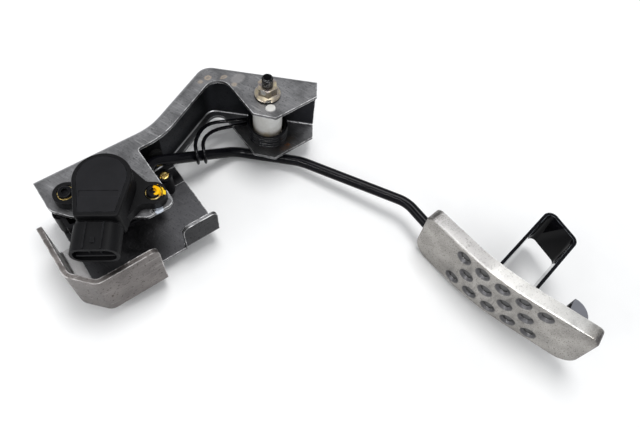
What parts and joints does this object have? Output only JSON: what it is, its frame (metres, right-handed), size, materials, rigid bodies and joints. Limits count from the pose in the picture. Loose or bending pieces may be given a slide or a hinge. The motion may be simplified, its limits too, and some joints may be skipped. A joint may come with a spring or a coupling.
{
  "type": "accelerator pedal sensor",
  "caption": "Floor-type accelerator pedal on a bent steel bracket: pivoted rod with a drilled metal pad, torsion return springs and a rotary position sensor.",
  "frame": {"origin": "midway between the two bolt holes of the bracket's back wall, on that wall's outer face", "axes": "+X along the bracket from the sensor towards the pedal pivot, +Y out of the back wall towards the car's panel, +Z along the pivot axis towards the flange that carries the sensor"},
  "size_m": [0.3082, 0.3137, 0.1035],
  "materials": {
    "bracket_steel": "brushed bare steel",
    "plate_steel": "brushed bare steel, scratched",
    "bush_plastic": "satin moulded",
    "spring_steel": "gloss black",
    "sensor_plastic": "fine-grained moulded",
    "cover_plastic": "fine-grained moulded",
    "circuit_board": "lacquered",
    "seal_rubber": "smooth",
    "sleeve_brass": "turned",
    "washer_zinc": "yellow zinc",
    "nut_zinc": "zinc",
    "sensor_screw": "black oxide",
    "housing_plastic": "moulded",
    "housing_screw": "yellow zinc",
    "stop_rubber": "matte",
    "shaft_steel": "turned",
    "pivot_zinc": "yellow zinc",
    "rod_paint": "gloss black",
    "cap_plastic": "satin",
    "pad_metal": "satin, speckled",
    "pad_rubber": "matte",
    "carrier_paint": "satin black",
    "pad_nut": "zinc",
    "strap_paint": "gloss black",
    "bumper_rubber": "matte, mid grey",
    "rotor_plastic": "satin",
    "lever_plastic": "satin",
    "terminal_gold": "gold plated"
  },
  "bodies": {
    "bracket": {"bracket": "bracket_steel", "corner_plate": "plate_steel", "pivot_bush": "bush_plastic", "return_spring_lower": "spring_steel", "return_spring_upper": "spring_steel", "sensor_body": "sensor_plastic", "sensor_cover": "cover_plastic", "sensor_board": "circuit_board", "sensor_seal": "seal_rubber", "sensor_sleeve_left": "sleeve_brass", "sensor_sleeve_right": "sleeve_brass", "sensor_washer_left": "washer_zinc", "sensor_washer_right": "washer_zinc", "sensor_nut_left": "nut_zinc", "sensor_nut_right": "nut_zinc", "sensor_screw_left": "sensor_screw", "sensor_screw_right": "sensor_screw", "lever_housing": "housing_plastic", "housing_screw_left": "sensor_screw", "housing_screw_right": "housing_screw", "rest_stop": "stop_rubber", "sensor_terminal_1": "terminal_gold", "sensor_terminal_2": "terminal_gold", "sensor_terminal_3": "terminal_gold", "sensor_terminal_4": "terminal_gold", "sensor_terminal_5": "terminal_gold", "sensor_terminal_6": "terminal_gold"},
    "pedal": {"pivot_shaft": "shaft_steel", "pivot_washer": "pivot_zinc", "pivot_nut": "pivot_zinc", "pedal_rod": "rod_paint", "rod_end_cap": "cap_plastic", "pedal_pad": "pad_metal", "pad_liner": "pad_rubber", "pad_carrier": "carrier_paint", "pad_nut_1": "pad_nut", "pad_nut_2": "pad_nut", "pad_nut_3": "pad_nut", "stop_strap": "strap_paint", "stop_bumper": "bumper_rubber", "bumper_bracket": "carrier_paint"},
    "sensor_lever": {"sensor_rotor": "rotor_plastic", "drive_lever": "lever_plastic"}
  },
  "joints": [
    {"name": "pedal_hinge", "type": "hinge", "parent": "bracket", "child": "pedal", "pos_m": [0.126, -0.021, 0], "axis": [0, 0, 1], "range_deg": [0, 14], "stiffness_Nm_per_rad": 6.5, "springref_deg": -14.32, "deforming": ["return_spring_lower", "return_spring_upper"]},
    {"name": "sensor_hinge", "type": "hinge", "parent": "bracket", "child": "sensor_lever", "pos_m": [-0.0027, -0.0388, 0.03], "axis": [0, 0, 1], "range_deg": [-47.04, 0]}
  ],
  "couplings": [
    {"joint": "sensor_hinge", "follows": "pedal_hinge", "ratio": -3.36}
  ]
}
